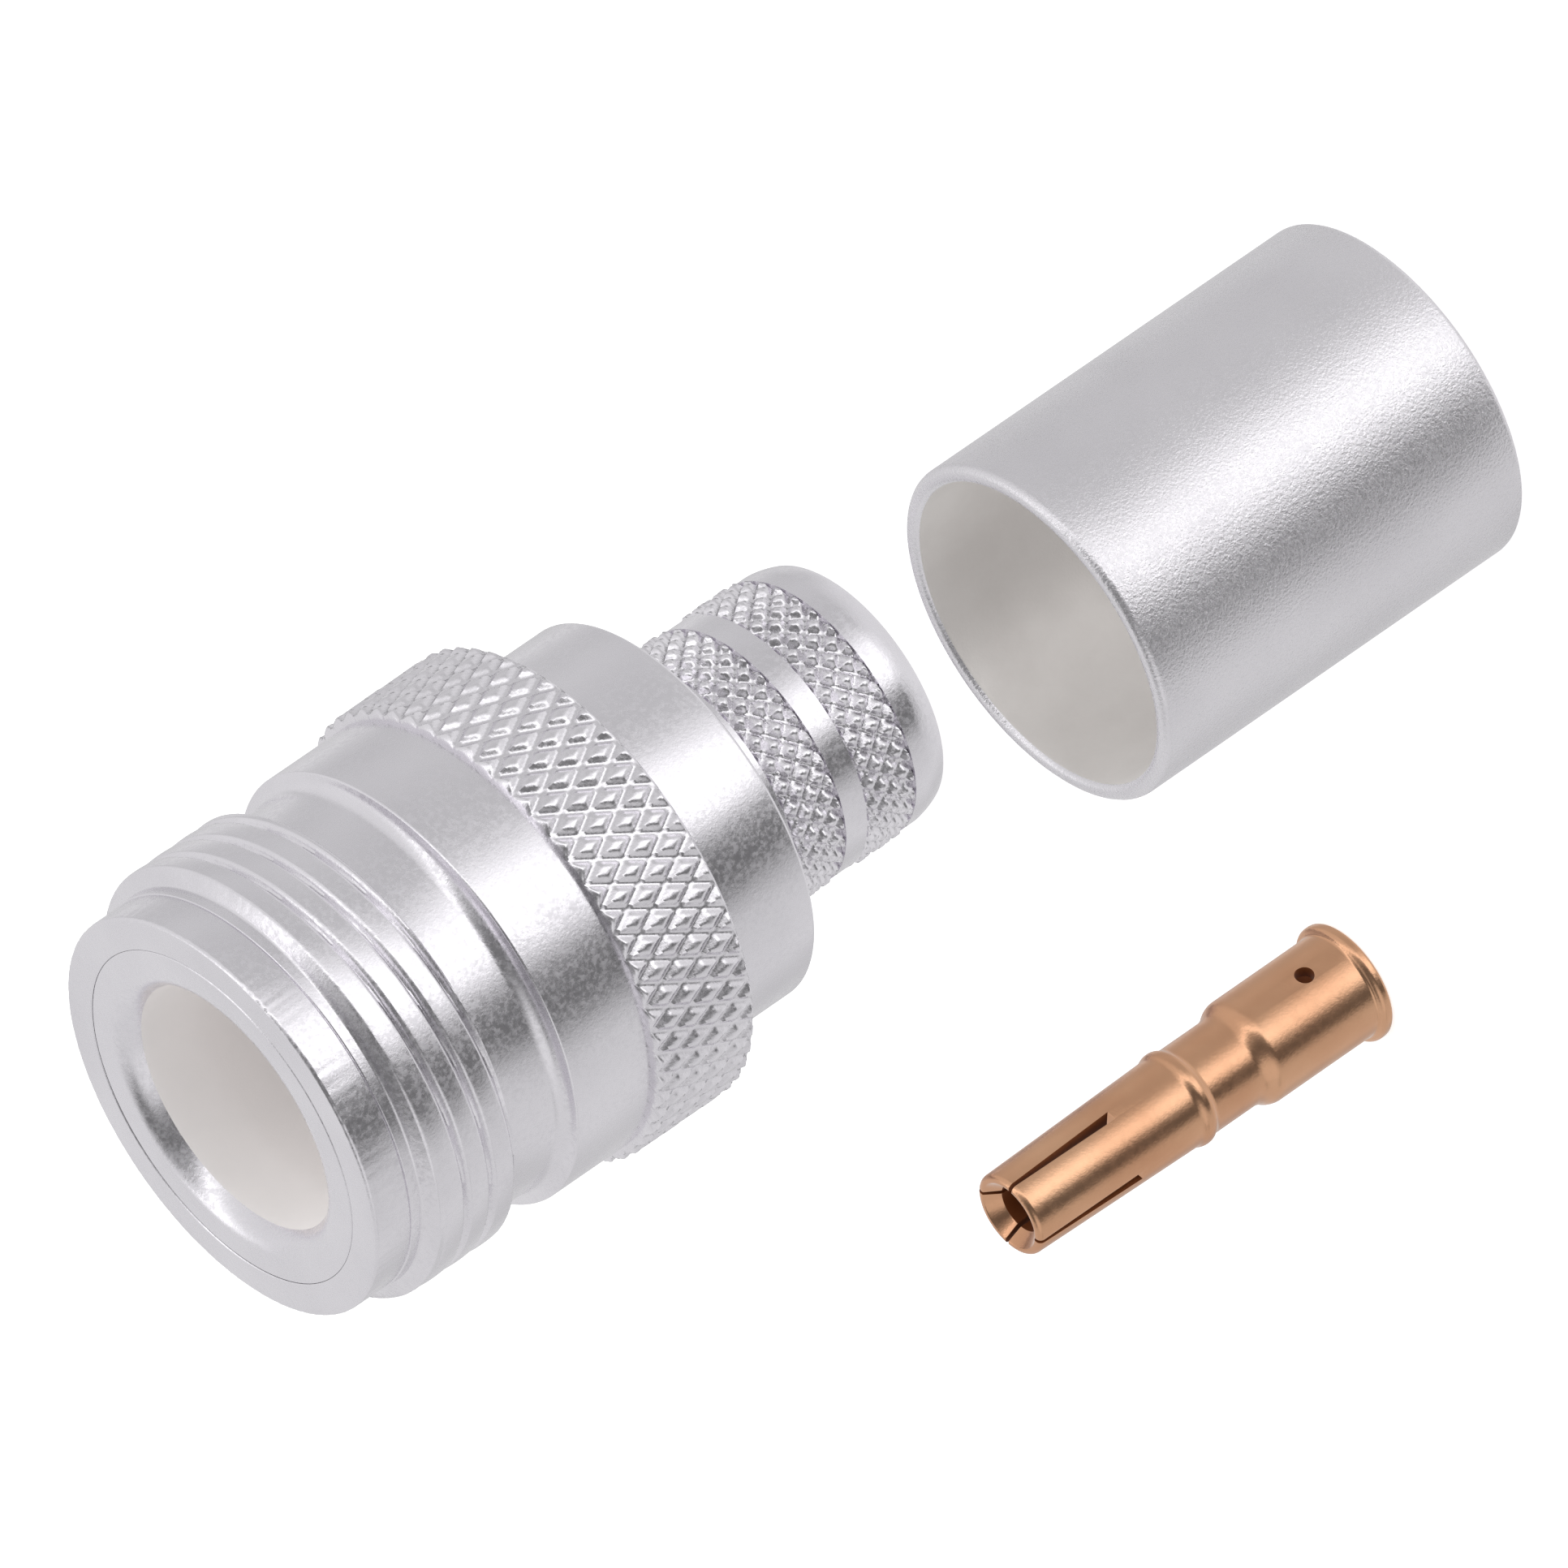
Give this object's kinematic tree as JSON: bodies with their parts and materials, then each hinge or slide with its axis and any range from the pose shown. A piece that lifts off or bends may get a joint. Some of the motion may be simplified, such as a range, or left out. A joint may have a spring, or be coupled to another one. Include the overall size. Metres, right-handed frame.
{
  "type": "n connector",
  "caption": "Female N crimp connector for a 10 mm coaxial cable, with its separate crimp ferrule and its slotted centre contact, each standing on its rear end.",
  "frame": {"origin": "on the connector's axis at its rear end face, where the cable enters; the three pieces stand on z = 0", "axes": "+Z along the connector's axis from the cable end to the mating face, -Y towards the viewer of the picture"},
  "size_m": [0.0269, 0.0568, 0.0269],
  "materials": {
    "silver_plate": "satin silver plate over brass",
    "ferrule_plate": "fine-grained silver plate over drawn metal",
    "contact_metal": "bright copper-coloured plate",
    "insulator_white": "white fluoropolymer"
  },
  "bodies": {
    "root": {"threaded_shell": "silver_plate", "crimp_body": "silver_plate", "insulator": "insulator_white", "crimp_ferrule": "ferrule_plate", "centre_contact": "contact_metal"}
  },
  "joints": []
}
